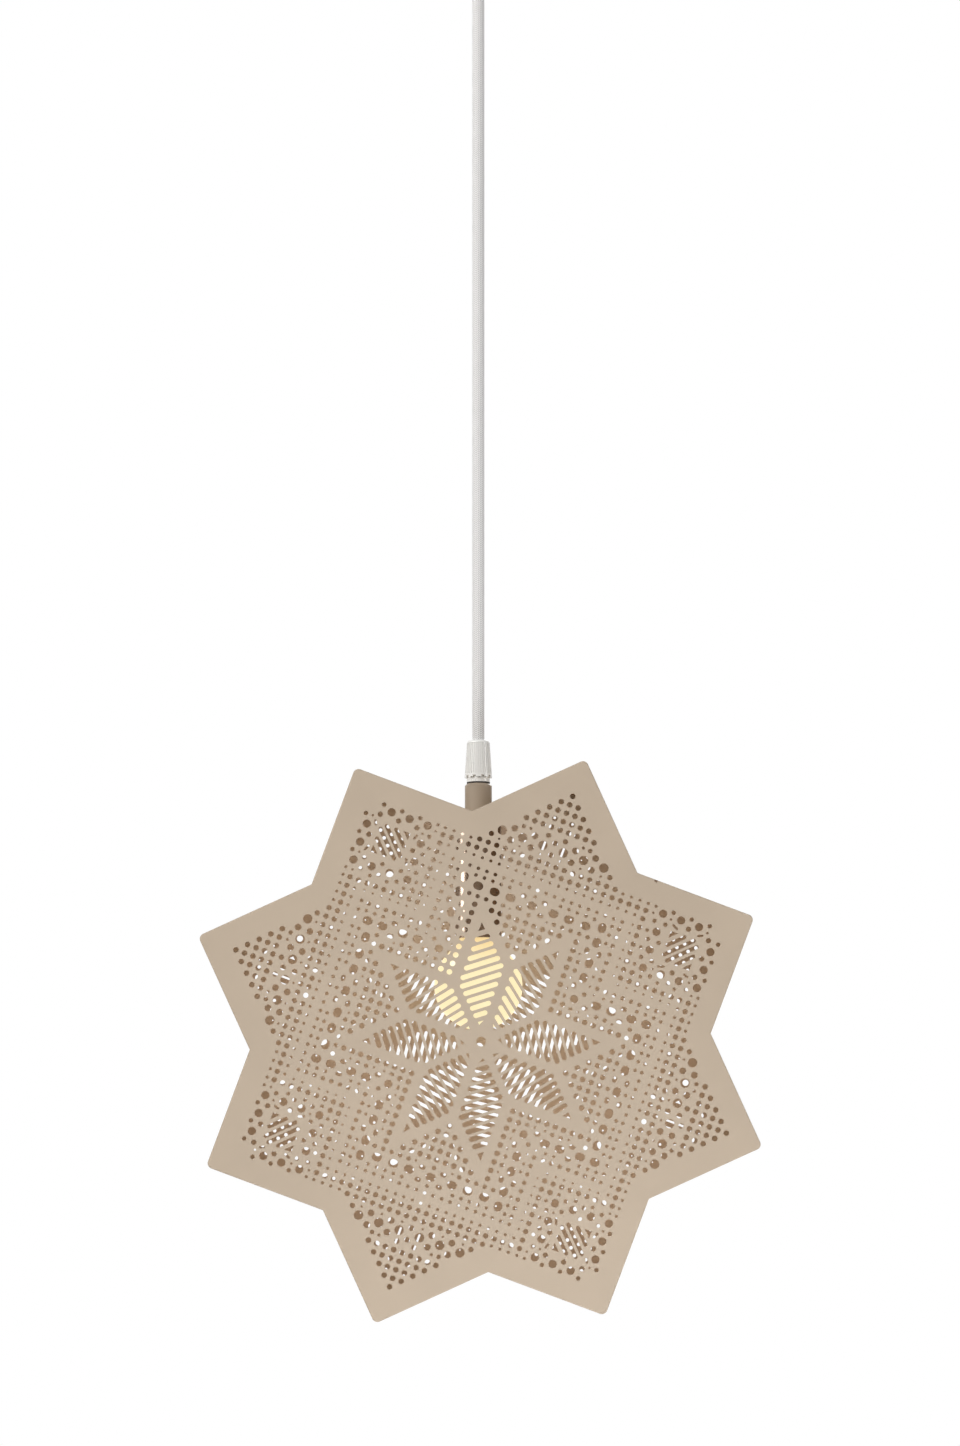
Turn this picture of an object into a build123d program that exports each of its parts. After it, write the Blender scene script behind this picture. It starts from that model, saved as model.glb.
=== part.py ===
"""Flat eight-pointed star lantern of pierced sheet metal, hung from the ceiling on a textile cord.

Two pierced star plates stand back to back on a star-shaped side band. A tube stands in the top
valley of the band, carries the cord grip above and the lampholder inside, and the cord runs up to
a canopy under the ceiling. All sizes are in millimetres. The origin is on the ceiling, on the
cord's axis, +Z is up, and the front plate faces -Y.
"""

import os
from math import atan2, cos, degrees, hypot, pi, radians, sin, sqrt

from build123d import *

# ---- Star ----
hole_pitch = 4.77  # step of the square lattice that the holes are punched on
pattern_steps = 21  # steps from the centre to the outermost straight row of holes
plain_border = 12.5  # unpierced strip outside that row
lantern_depth = 95.0  # front face to back face
sheet = 1.0  # both plates
band_wall = 1.0
tip_radius = 3.0
valley_radius = 2.0
edge_bend = 0.8  # rounded front and back edges of the plates
star_tilt = 2.0  # the star hangs turned a little on its tube, in degrees
star_shift = 0.5  # and its centre stands a little to the right of the cord
pattern_shift = 0.5  # as does the pattern of holes within the outline
cover_gap = 0.3  # back plate to band

# ---- Hole sizes ----
centre_hole = 5.2
dot = 3.0
border_dot = 2.85
bead_dot = 2.4
small_dot = 2.0
tiny_dot = 1.7
pin_dot = 1.3
medium_hole = 3.6
large_hole = 5.0
bead_length = 5.4
bead_width = 4.4
berry_length = 3.5
berry_width = 2.5
ring_hole = 4.4
slot_width = 2.7
diamond_slot_width = 2.1
sliver_width = 1.3
back_hole_shrink = 0.9  # the back plate is punched with narrower tools
smallest_hole = 0.8

# ---- Drop from the ceiling ----
canopy_depth = 30.0
top_grip_drop = 17.0
free_cord = 414.0  # cord that shows between the two grips
cone_length = 20.7
ring_height = 2.2
washer_thickness = 0.8
stem_rise = 19.9  # tube above the valley of the star

# ---- Cord ----
cord_diameter = 6.6
cord_clearance = 0.2  # cord in the bores that it passes through
core_diameter = 2.0
core_pitch = 2.3  # from one core to the next, side by side

# ---- Threaded entry, M10 x 1 ----
entry_thread = 10.0
thread_clearance = 0.05  # threads are drawn plain
nipple_bore = 7.6
nipple_length = 40.0
nipple_in_grip = 5.0
nut_flats = 14.0
nut_height = 3.5

# ---- Lower cord grip ----
cone_base = 15.0
cone_top = 12.2
cone_edge = 1.6
cone_wall = 1.2
flute_count = 36
flute_depth = 0.35
flute_width = 0.5
tooth_count = 10
tooth_height = 1.0
tooth_width = 1.8
ring_diameter = 12.8
collet_root = 12.0
collet_root_height = 5.6
collet_diameter = 9.2
collet_height = 9.0
collet_slit = 1.0
moving_gap = 0.3  # clearance where one moving piece faces another
running_gap = 0.08  # clearance where one piece turns in another

# ---- Stem tube ----
stem_diameter = 14.7
stem_chamfer = 1.2
stem_below_ridge = 1.8  # tube below the inside ridge of the valley
stem_hole_clearance = 0.05
washer_diameter = 12.6

# ---- Lampholder ----
sleeve_diameter = 25.0
sleeve_wall = 1.0
sleeve_length = 61.5
lock_washer_thickness = 0.8
lock_washer_diameter = 16.0
lock_washer_teeth = 12
lock_washer_tooth = 1.4
holder_diameter = 21.4
holder_wall = 1.5
holder_neck = 14.0
holder_neck_height = 5.0
holder_cap_height = 17.0
holder_body_length = 36.0
block_diameter = 18.0
block_height = 9.0
block_step = 2.0
shell_play = 0.1  # bulb cap in its shell
shell_wall = 0.5
shell_length = 18.0
shell_rim = 1.2
contact_width = 4.0
contact_thickness = 0.6
contact_drop = 3.0
terminal_diameter = 3.4
terminal_height = 2.6
terminal_offset = 5.4
earth_terminal_height = 4.0
slit = 0.7

# ---- Bulb, golf-ball shape with an E14 cap ----
globe_diameter = 48.0
bulb_length = 77.0
bulb_drop = 31.8  # star centre to globe centre
neck_turn = 40.0  # where the round globe runs into the neck, in degrees above its middle
glass_wall = 0.8
cap_thread = 13.8
cap_wall = 0.4
cap_height = 18.5
cap_skirt = 16.0
cap_skirt_height = 2.5
neck_diameter = 17.0
insulator_height = 2.6
insulator_base = 11.0
insulator_top = 6.5
tip_diameter = 4.6
tip_height = 1.2
mount_diameter = 6.0
mount_height = 16.0
mount_play = 0.4
filament_diameter = 1.6
filament_length = 24.0
filament_spread = 6.0
filament_count = 4
filament_rise = 3.0

# ---- Back cover fixing, M3 ----
gusset_leg = 17.0
gusset_thickness = 1.5
cover_screw = 3.0
cover_screw_length = 7.0
screw_head = 5.6
screw_head_height = 2.0
screw_clearance = 0.1
cover_screw_inset = 6.5  # screw to each side of its point

# ---- Canopy and ceiling bracket ----
canopy_diameter = 95.0
canopy_wall = 0.8
canopy_edge = 2.0
bracket_width = 18.0
bracket_thickness = 1.5
bracket_ear = 13.0
bracket_gap = 1.6  # ear to the canopy's inside
ceiling_hole_spacing = 60.0
ceiling_hole = 5.0
supply_hole = 12.0
supply_hole_shift = 15.5
side_screw = 4.0
side_screw_length = 9.0
side_screw_head = 7.0
side_screw_head_height = 2.4
side_screw_drop = 7.0
side_slot_play = 0.35
top_grip_flange = 15.0
top_grip_flange_height = 2.5
top_grip_diameter = 12.0
top_grip_thread_length = 9.0
top_grip_bore_gap = 0.25
lock_screw = 3.0
lock_screw_length = 3.2
lock_screw_drop = 9.0
terminal_block_length = 27.0
terminal_block_width = 16.0
terminal_block_height = 11.0
terminal_block_shift = 24.0  # block beside the cord
terminal_pitch = 8.5
terminal_bore = 3.6
terminal_screw = 3.0
terminal_screw_height = 5.0
terminal_screw_spacing = 8.0
core_hold = 3.0  # core inside its terminal
cord_end_below_ceiling = 16.0

# ---- Levels that follow ----
canopy_floor_z = -canopy_depth
top_grip_z = canopy_floor_z - top_grip_drop
cone_top_z = top_grip_z - free_cord
ring_top_z = cone_top_z - cone_length
washer_top_z = ring_top_z - ring_height
stem_top_z = washer_top_z - washer_thickness
star_flat = pattern_steps * hole_pitch + plain_border
star_point = star_flat * sqrt(2)
star_valley = star_flat / cos(radians(22.5))
ridge = (star_flat - band_wall) / cos(radians(22.5))
star_z = stem_top_z - stem_rise - star_valley
ridge_z = star_z + ridge * cos(radians(star_tilt))
stem_foot_z = ridge_z - stem_below_ridge
front_y = -lantern_depth / 2
back_y = lantern_depth / 2
band_front_y = front_y + sheet
band_back_y = back_y - sheet - cover_gap

os.makedirs("parts", exist_ok=True)


def save(part, name):
    """Label a finished piece and write it to its own file."""
    part.label = name
    export_step(part, f"parts/{name}.step")


def level(z):
    """The horizontal plane at height z."""
    return Plane.XY.offset(z)


def star_plane(y, facing):
    """The star's own upright plane at depth y, turned by the star's tilt and facing -Y or +Y."""
    tilt = radians(star_tilt)
    side = -facing
    return Plane(
        origin=(star_shift, y, star_z),
        x_dir=(side * cos(tilt), 0, side * sin(tilt)),
        z_dir=(0, facing, 0),
    )


# ---- Star outline: two squares, one turned by 45 degrees ----


def star_corners(flat):
    """Points and valleys in turn, for squares whose sides lie at this distance from the centre."""
    corners = []
    for step in range(16):
        reach = flat * sqrt(2) if step % 2 else flat / cos(radians(22.5))
        turn = radians(22.5 * step)
        corners.append((reach * cos(turn), reach * sin(turn)))
    return corners


def star_sketch(flat, point_round, valley_round):
    """The star's face, with its points and valleys rounded."""
    with BuildSketch(mode=Mode.PRIVATE) as outline:
        with BuildLine():
            Polyline(*star_corners(flat), close=True)
        make_face()
        middle = (star_point + star_valley) / 2
        points = outline.vertices().filter_by(lambda v: hypot(v.X, v.Y) > middle)
        valleys = outline.vertices().filter_by(lambda v: hypot(v.X, v.Y) <= middle)
        fillet(points, point_round)
        fillet(valleys, valley_round)
    return outline.face()


# ---- Pierced pattern ----
# Rows and columns count steps of the lattice from the centre. The lattice lies square to one of
# the star's two squares. Every feature stands in all eight mirrored places, apart from the sprigs
# about the diamonds, which only turn.

lattice_turn = -22.5

chain_row = 16.05  # the bead chain's straight stretch
chain_column = 8.15  # and its folded corners
diamond_rows = (13.93, 16.05, 18.18, 20.32)  # ring of holes around each hatched diamond
diamond_gaps = (14.98, 17.12, 19.25)


def dotted_holes():
    """Round and oval holes of one mirrored eighth: column, row, width and height."""
    holes = []

    def row_of(columns, row, width, height=None):
        for column in columns:
            holes.append((column, row, width, height or width))

    def column_of(column, rows, width, height=None):
        for row in rows:
            holes.append((column, row, width, height or width))

    # Triangle of dots between two petals.
    for row in range(10, 15):
        row_of(range(row - 9), row, dot)
    row_of((0, 3, 4, 5, 6, 7), 14.95, bead_dot)
    row_of((2.15,), 14.87, pin_dot)

    # Chain of oval beads with berries between them.
    row_of((0, 2.54, 4.40, 6.34), chain_row, bead_length, bead_width)
    for row in (chain_row - 0.73, chain_row + 0.73):
        row_of((1.25,), row, berry_length, berry_width)
    column_of(chain_column, (10.56, 12.32, 14.74, 16.47), bead_width, bead_length)
    for column in (chain_column - 0.72, chain_column + 0.72):
        column_of(column, (13.54,), berry_width, berry_length)
    column_of(7.45, (9.42,), berry_width, berry_length)
    column_of(8, (8,), ring_hole)
    column_of(8.87, (8.87,), berry_width)

    # Inner border, outside the chain.
    row_of((0, 3, 4, 5, 6, 7), 17.09, small_dot)
    row_of(range(11), 17.88, small_dot)
    column_of(9.98, (9.98,), bead_dot)
    column_of(9.95, range(11, 18), bead_dot)
    column_of(9.13, (15, 16, 17), small_dot)
    column_of(9.15, (11.05, 12), tiny_dot)
    column_of(9.15, (9.9,), pin_dot)

    # Border inside the chain, around the petals' corners.
    column_of(6, range(6, 15), dot)
    column_of(7, (7,), dot)
    column_of(6.85, (8,), tiny_dot, berry_width)
    column_of(6.83, (8.9, 10.1, 12.9), pin_dot)
    column_of(6.96, (11, 12), bead_dot)

    # Outer border: a tiny row, two full rows and the short rows beside the points.
    row_of(range(12), 19.12, tiny_dot)
    column_of(11.18, range(12, 19), pin_dot)
    row_of(range(13), 20, border_dot)
    column_of(12, range(12, 20), border_dot)
    column_of(13, (13,), dot)
    row_of(range(9), 20.97, border_dot)
    row_of((9, 10, 11, 12, 12.9), 20.82, tiny_dot)
    column_of(12.87, (20.04,), pin_dot)
    column_of(12.9, (14, 16, 18), small_dot)

    # Dotted point.
    row_of((7,), 22, border_dot)
    row_of((0,), 22.06, dot)
    row_of((0,), 23.44, dot)
    for row in (22.06, 23.44):
        row_of((2.39, 4.78), row, medium_hole)
    row_of((1.2, 3.6, 6), 22.76, large_hole)
    row_of((1.2, 3.6, 6), 21.75, pin_dot)
    row_of((1,), 24, border_dot)
    row_of((3.1,), 24.05, tiny_dot)
    row_of((3.93,), 24, bead_dot)
    for row in range(25, 30):
        row_of(range(30 - row), row, dot)

    # Ring around the diamond, open at the very tip, and the dots along its outside.
    near, *inner, far = diamond_rows
    column_of(near, diamond_rows, ring_hole)
    row_of(inner, far, ring_hole)
    column_of(diamond_rows[0] - 0.62, diamond_gaps, bead_dot)
    row_of(diamond_gaps, diamond_rows[-1] + 0.51, bead_dot)
    return holes


def sprig_holes():
    """Holes about one diamond that turn with it but don't mirror: column, row, length, width, angle."""
    holes = []
    for row in (14.95, 17.12, 19.28):
        holes.append((14.58, row, bead_dot, bead_dot, 0))
        holes.append((19.68, row, border_dot, border_dot, 0))
    for row in (14.53, 19.7):
        holes.append((17.16, row, border_dot, border_dot, 0))
    for column in (14.97, 19.28):
        for row in (14.15, 20.02):
            holes.append((column, row, pin_dot, pin_dot, 0))
    for column, row, length, angle in (
        (15.7, 19.4, 3.8, -25),
        (18.65, 19.45, 3.3, 25),
        (15.75, 14.75, 4.1, 20),
        (18.68, 14.75, 3.2, -20),
    ):
        holes.append((column, row, length, sliver_width, angle))
    return holes


hatch_slope = 0.78  # the petals' slots fall this much a step
hatch_first = 13.84
hatch_step = 1.127
hatch_count = 10
petal_side = (0.72, 4.37)  # columns between which a petal's slots end
petal_flank = (0.92, 7.75)  # and how far above the diagonal they end
petal_tip = ((4.57, 12.42), (4.57, 11.34), (3.96, 11.81))
petal_root = ((0.55, 2.30), (0.85, 1.65), (1.12, 1.90))
diamond_span = (15.6, 18.7)
diamond_offsets = (0.53, 1.66)
diamond_corner = ((15.42, 18.85), (16.25, 18.85), (15.42, 18.02))


def slots():
    """Slots of one mirrored eighth, as the two ends of each middle line, and their width."""
    lines = []
    for count in range(hatch_count):
        top = hatch_first - hatch_step * count
        start = max(petal_side[0], (top - petal_flank[1]) / (1 + hatch_slope))
        end = min(petal_side[1], (top - petal_flank[0]) / (1 + hatch_slope))
        lines.append(((start, top - hatch_slope * start), (end, top - hatch_slope * end), slot_width))
    low, high = diamond_span
    for offset in diamond_offsets:
        lines.append(((low, low + offset), (high - offset, high), diamond_slot_width))
    return lines


def turned(column, row, quarters, mirrored):
    """A lattice place mirrored in the upright axis and then turned by quarters."""
    if mirrored:
        column = -column
    for _ in range(quarters):
        column, row = -row, column
    return column, row


def on_plate(column, row, shift):
    """A lattice place as a point of the star's own plane."""
    turn = radians(lattice_turn)
    x = column * cos(turn) - row * sin(turn)
    y = column * sin(turn) + row * cos(turn)
    return Vector(x * hole_pitch + shift, y * hole_pitch)


def round_wire(centre, diameter):
    """The rim of a round hole."""
    return Wire([Edge.make_circle(diameter / 2, Plane(centre))])


def slot_wire(start, end, width):
    """The rim of a slot with round ends, from one end's centre to the other's."""
    along = (end - start).normalized() * (width / 2)
    across = Vector(-along.Y, along.X)
    left = Line(start + across, end + across)
    cap = ThreePointArc(end + across, end + along, end - across)
    right = Line(end - across, start - across)
    tail = ThreePointArc(start - across, start - along, start + across)
    return Wire([left, cap, right, tail])


def oval_wire(centre, width, height, angle):
    """The rim of a hole that is longer one way, turned by an angle in degrees."""
    if width == height:
        return round_wire(centre, width)
    long_way = angle if width > height else angle + 90
    reach = (max(width, height) - min(width, height)) / 2
    half = Vector(reach * cos(radians(long_way)), reach * sin(radians(long_way)))
    return slot_wire(centre - half, centre + half, min(width, height))


def triangle_wire(corners, shrink):
    """The rim of a three-cornered hole, with its sides moved in by half the shrink."""
    one, two, three = corners
    sides = ((two - three).length, (three - one).length, (one - two).length)
    around = sum(sides)
    middle = (one * sides[0] + two * sides[1] + three * sides[2]) / around
    inner_radius = abs((two - one).cross(three - one).Z) / around
    kept = 1 - shrink / 2 / inner_radius
    return Wire.make_polygon([middle + (corner - middle) * kept for corner in corners], close=True)


def pattern_wires(shift, shrink):
    """The rims of all holes of one plate, once each, shifted sideways and narrower by the shrink."""

    def narrowed(width):
        return max(width - shrink, smallest_hole)

    wires = [round_wire(Vector(shift, 0), narrowed(centre_hole))]
    used = set()
    for column, row, width, height in dotted_holes():
        for quarters in range(4):
            for mirrored in (False, True):
                place = turned(column, row, quarters, mirrored)
                key = (round(place[0], 2), round(place[1], 2))
                if key in used:
                    continue
                used.add(key)
                angle = 90 * quarters + lattice_turn
                wires.append(oval_wire(on_plate(*place, shift), narrowed(width), narrowed(height), angle))
    for column, row, length, width, angle in sprig_holes():
        for quarters in range(4):
            place = on_plate(*turned(column, row, quarters, False), shift)
            turn = angle + 90 * quarters + lattice_turn
            wires.append(oval_wire(place, narrowed(length), narrowed(width), turn))
    for quarters in range(4):
        for mirrored in (False, True):
            for start, end, width in slots():
                ends = [on_plate(*turned(*place, quarters, mirrored), shift) for place in (start, end)]
                wires.append(slot_wire(*ends, narrowed(width)))
            for corners in (petal_tip, petal_root, diamond_corner):
                places = [on_plate(*turned(*place, quarters, mirrored), shift) for place in corners]
                wires.append(triangle_wire(places, shrink))
    return wires


star_face = star_sketch(star_flat, tip_radius, valley_radius)

# The four fixing points of the back cover: every other point of the star.
screw_reach = (star_flat - band_wall - cover_screw_inset) * sqrt(2)
screw_places = PolarLocations(screw_reach, 4, start_angle=22.5).local_locations
screw_points = [place.position for place in screw_places]

# The holes are inner rims of one face, which builds far faster than as many cuts.
with BuildPart() as front_plate:
    with BuildSketch(star_plane(front_y, -1)):
        add(Face(star_face.outer_wire(), pattern_wires(pattern_shift, 0)))
    extrude(amount=-sheet, clean=False)
    rim = front_plate.faces().sort_by(Axis.Y)[0].outer_wire().edges()
    fillet(rim, edge_bend)
save(front_plate.part, "front_plate")

# The back plate is drawn as seen from behind, so its pattern shifts the other way.
screw_rims = [round_wire(point, cover_screw + 2 * screw_clearance) for point in screw_points]
back_holes = pattern_wires(-pattern_shift, back_hole_shrink)
with BuildPart() as back_plate:
    with BuildSketch(star_plane(back_y, 1)):
        add(Face(star_face.outer_wire(), back_holes + screw_rims))
    extrude(amount=-sheet, clean=False)
    rim = back_plate.faces().sort_by(Axis.Y)[-1].outer_wire().edges()
    fillet(rim, edge_bend)
save(back_plate.part, "back_plate")

with BuildPart() as side_band:
    with BuildSketch(star_plane(band_front_y, 1)):
        add(star_face)
        inner_point = max(tip_radius - band_wall, 0.5)
        add(star_sketch(star_flat - band_wall, inner_point, valley_radius + band_wall), mode=Mode.SUBTRACT)
    extrude(amount=band_back_y - band_front_y)
    with BuildSketch(level(stem_top_z)):
        Circle(stem_diameter / 2 + stem_hole_clearance)
    extrude(amount=stem_foot_z - stem_top_z - 1, mode=Mode.SUBTRACT)
save(side_band.part, "side_band")

# Corner plates in four points carry the back cover's screws.
inner_reach = (star_flat - band_wall) * sqrt(2)
with BuildPart() as corner_gussets:
    with BuildSketch(star_plane(band_back_y, 1)):
        for point in screw_points:
            Polygon(
                (inner_reach - tip_radius, tip_radius),
                (inner_reach - gusset_leg, gusset_leg),
                (inner_reach - gusset_leg, -gusset_leg),
                (inner_reach - tip_radius, -tip_radius),
                rotation=degrees(atan2(point.Y, point.X)),
                align=None,
            )
        with Locations(*screw_points):
            Circle(cover_screw / 2 + screw_clearance, mode=Mode.SUBTRACT)
    extrude(amount=-gusset_thickness)
save(corner_gussets.part, "corner_gussets")

with BuildPart() as cover_screws:
    with BuildSketch(star_plane(back_y, 1)):
        with Locations(*screw_points):
            Circle(screw_head / 2)
    extrude(amount=screw_head_height)
    fillet(cover_screws.faces().sort_by(Axis.Y)[-4:].edges(), screw_head_height / 3)
    with BuildSketch(star_plane(back_y, 1)):
        with Locations(*screw_points):
            Circle(cover_screw / 2)
    extrude(amount=-cover_screw_length)
    with BuildSketch(star_plane(back_y + screw_head_height, 1)):
        with Locations(*screw_points):
            Rectangle(screw_head * 0.6, slit)
            Rectangle(slit, screw_head * 0.6)
    extrude(amount=-screw_head_height / 2, mode=Mode.SUBTRACT)
save(cover_screws.part, "cover_screws")

# ---- Tube, nipple and lower cord grip ----

with BuildPart() as stem_tube:
    with BuildSketch(level(stem_foot_z)):
        Circle(stem_diameter / 2)
        Circle(entry_thread / 2 + thread_clearance, mode=Mode.SUBTRACT)
    extrude(amount=stem_top_z - stem_foot_z)
    crown = stem_tube.edges().group_by(Axis.Z)[-1].sort_by(SortBy.RADIUS)[-1]
    chamfer(crown, stem_chamfer)
save(stem_tube.part, "stem_tube")

with BuildPart() as grip_washer:
    with BuildSketch(level(stem_top_z)):
        Circle(washer_diameter / 2)
        Circle(entry_thread / 2 + thread_clearance, mode=Mode.SUBTRACT)
    extrude(amount=washer_thickness)
save(grip_washer.part, "grip_washer")

nipple_top_z = washer_top_z + nipple_in_grip
nipple_foot_z = nipple_top_z - nipple_length
with BuildPart() as threaded_nipple:
    with BuildSketch(level(nipple_foot_z)):
        Circle(entry_thread / 2)
        Circle(nipple_bore / 2, mode=Mode.SUBTRACT)
    extrude(amount=nipple_length)
    chamfer(threaded_nipple.edges().group_by(Axis.Z)[-1].sort_by(SortBy.RADIUS)[-1], 0.4)
    chamfer(threaded_nipple.edges().group_by(Axis.Z)[0].sort_by(SortBy.RADIUS)[-1], 0.4)
save(threaded_nipple.part, "threaded_nipple")

cord_bore = cord_diameter / 2 + cord_clearance
collet_root_top_z = ring_top_z + collet_root_height
collet_top_z = collet_root_top_z + collet_height
with BuildPart() as grip_base:
    with BuildSketch(level(washer_top_z)):
        Circle(ring_diameter / 2)
    extrude(amount=ring_height)
    with BuildSketch(level(ring_top_z)):
        Circle(collet_root / 2)
    extrude(amount=collet_root_height)
    with BuildSketch(level(collet_root_top_z)):
        Circle(collet_diameter / 2)
    extrude(amount=collet_height)
    with BuildSketch(level(washer_top_z)):
        Circle(entry_thread / 2 + thread_clearance)
    extrude(amount=nipple_in_grip, mode=Mode.SUBTRACT)
    with BuildSketch(level(washer_top_z)):
        Circle(cord_bore)
    extrude(amount=collet_top_z - washer_top_z, mode=Mode.SUBTRACT)
    with BuildSketch(level(collet_top_z)):
        Rectangle(2 * collet_diameter, collet_slit)
        Rectangle(collet_slit, 2 * collet_diameter)
    extrude(amount=-(collet_height - 1.0), mode=Mode.SUBTRACT)
save(grip_base.part, "grip_base")

# Fluted cone nut, turned down over the collet to clamp the cord.
cone_foot_z = ring_top_z + moving_gap
cone_span = cone_top_z - cone_foot_z
cone_taper = (cone_base - cone_top) / 2 / cone_span


def cone_radius(z):
    """Outside radius of the cone nut at height z."""
    return cone_base / 2 - cone_taper * (z - cone_foot_z)


with BuildPart() as grip_cone:
    with BuildSketch(Plane.XZ):
        Polygon(
            (0, cone_foot_z),
            (cone_base / 2, cone_foot_z),
            (cone_top / 2, cone_top_z),
            (0, cone_top_z),
            align=None,
        )
    revolve(axis=Axis.Z)
    fillet(grip_cone.edges().group_by(Axis.Z)[-1], cone_edge)
    with BuildSketch(level(cone_foot_z)):
        Circle(collet_root / 2 + running_gap)
    extrude(amount=collet_root_height + moving_gap, mode=Mode.SUBTRACT)
    with BuildSketch(level(cone_foot_z)):
        Circle(collet_diameter / 2 + running_gap)
    extrude(amount=cone_span - cone_wall, mode=Mode.SUBTRACT)
    with BuildSketch(level(cone_foot_z)):
        Circle(cord_bore)
    extrude(amount=cone_span, mode=Mode.SUBTRACT)
    # Fine upright flutes that follow the taper.
    flute_foot = cone_foot_z + 2 * tooth_height
    flute_head = cone_top_z - cone_edge
    for number in range(flute_count):
        turn = radians(360 / flute_count * number)
        with BuildSketch(Plane((0, 0, 0), (cos(turn), sin(turn), 0), (sin(turn), -cos(turn), 0))):
            Polygon(
                (cone_radius(flute_foot) - flute_depth, flute_foot),
                (cone_radius(flute_foot) + flute_depth, flute_foot),
                (cone_radius(flute_foot) + flute_depth, flute_head),
                (cone_radius(flute_head) - flute_depth, flute_head),
                align=None,
            )
        extrude(amount=flute_width / 2, both=True, mode=Mode.SUBTRACT)
    with BuildSketch(level(cone_foot_z)):
        with PolarLocations(cone_base / 2, tooth_count):
            Rectangle(cone_base - collet_root, tooth_width)
    extrude(amount=tooth_height, mode=Mode.SUBTRACT)
save(grip_cone.part, "grip_cone")

# ---- Lampholder, hidden in its sleeve ----

sleeve_top_z = stem_foot_z
sleeve_foot_z = sleeve_top_z - sleeve_length
with BuildPart() as lampholder_sleeve:
    with BuildSketch(level(sleeve_foot_z)):
        Circle(sleeve_diameter / 2)
    extrude(amount=sleeve_length)
    fillet(lampholder_sleeve.edges().group_by(Axis.Z)[-1], sleeve_wall)
    with BuildSketch(level(sleeve_foot_z)):
        Circle(sleeve_diameter / 2 - sleeve_wall)
    extrude(amount=sleeve_length - sleeve_wall, mode=Mode.SUBTRACT)
    with BuildSketch(level(sleeve_foot_z)):
        Circle(entry_thread / 2 + thread_clearance)
    extrude(amount=sleeve_length, mode=Mode.SUBTRACT)
save(lampholder_sleeve.part, "lampholder_sleeve")

lock_washer_z = sleeve_top_z - sleeve_wall
with BuildPart() as lock_washer:
    with BuildSketch(level(lock_washer_z)):
        Circle(lock_washer_diameter / 2)
        Circle(entry_thread / 2 + thread_clearance, mode=Mode.SUBTRACT)
        with PolarLocations(lock_washer_diameter / 2, lock_washer_teeth):
            Rectangle(lock_washer_tooth, lock_washer_tooth, mode=Mode.SUBTRACT)
    extrude(amount=-lock_washer_thickness)
save(lock_washer.part, "lock_washer")

nut_top_z = lock_washer_z - lock_washer_thickness
with BuildPart() as stem_nut:
    with BuildSketch(level(nut_top_z)):
        RegularPolygon(nut_flats / 2, 6, major_radius=False)
        Circle(entry_thread / 2 + thread_clearance, mode=Mode.SUBTRACT)
    extrude(amount=-nut_height)
save(stem_nut.part, "stem_nut")

holder_top_z = nut_top_z - nut_height
holder_shoulder_z = holder_top_z - holder_neck_height
holder_seam_z = holder_top_z - holder_cap_height
holder_bore = holder_diameter / 2 - holder_wall
with BuildPart() as holder_cap:
    with BuildSketch(level(holder_top_z)):
        Circle(holder_neck / 2)
    extrude(amount=-holder_neck_height)
    with BuildSketch(level(holder_shoulder_z)):
        Circle(holder_diameter / 2)
    extrude(amount=holder_seam_z - holder_shoulder_z)
    shoulder = holder_cap.edges().filter_by(GeomType.CIRCLE).filter_by(
        lambda e: abs(e.center().Z - holder_shoulder_z) < 0.01 and e.radius > holder_neck / 2 + 0.1
    )
    fillet(shoulder, 2 * holder_wall)
    with BuildSketch(level(holder_seam_z)):
        Circle(holder_bore)
    extrude(amount=holder_shoulder_z - holder_wall - holder_seam_z, mode=Mode.SUBTRACT)
    with BuildSketch(level(holder_top_z)):
        Circle(entry_thread / 2 + thread_clearance)
    extrude(amount=-holder_cap_height, mode=Mode.SUBTRACT)
save(holder_cap.part, "holder_cap")

holder_foot_z = holder_seam_z - holder_body_length
with BuildPart() as holder_body:
    with BuildSketch(level(holder_seam_z)):
        Circle(holder_diameter / 2)
        Circle(holder_bore, mode=Mode.SUBTRACT)
    extrude(amount=-holder_body_length)
    chamfer(holder_body.edges().group_by(Axis.Z)[0].sort_by(SortBy.RADIUS)[-1], holder_wall / 3)
save(holder_body.part, "holder_body")

# Levels of the bulb, from which the contacts take their places.
globe_z = star_z + bulb_drop
bulb_foot_z = globe_z - globe_diameter / 2
bulb_tip_z = bulb_foot_z + bulb_length
insulator_top_z = bulb_tip_z - tip_height
cap_top_z = insulator_top_z - insulator_height
cap_foot_z = cap_top_z - cap_height
block_foot_z = bulb_tip_z + moving_gap + contact_thickness + contact_drop
block_top_z = block_foot_z + block_height

with BuildPart() as contact_block:
    with BuildSketch(level(block_foot_z)):
        Circle(block_diameter / 2)
    extrude(amount=block_height)
    with BuildSketch(level(block_foot_z)):
        Circle(holder_bore)
    extrude(amount=block_step)
    with BuildSketch(level(block_top_z)):
        with GridLocations(2 * terminal_offset, 0, 2, 1):
            Circle(terminal_diameter / 2 + screw_clearance)
    extrude(amount=-terminal_height, mode=Mode.SUBTRACT)
save(contact_block.part, "contact_block")

with BuildPart() as terminal_screws:
    with BuildSketch(level(block_top_z - terminal_height)):
        with GridLocations(2 * terminal_offset, 0, 2, 1):
            Circle(terminal_diameter / 2)
    extrude(amount=terminal_height + slit)
    with BuildSketch(level(block_top_z + slit)):
        with GridLocations(2 * terminal_offset, 0, 2, 1):
            Rectangle(slit, terminal_diameter)
    extrude(amount=-slit, mode=Mode.SUBTRACT)
save(terminal_screws.part, "terminal_screws")

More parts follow.
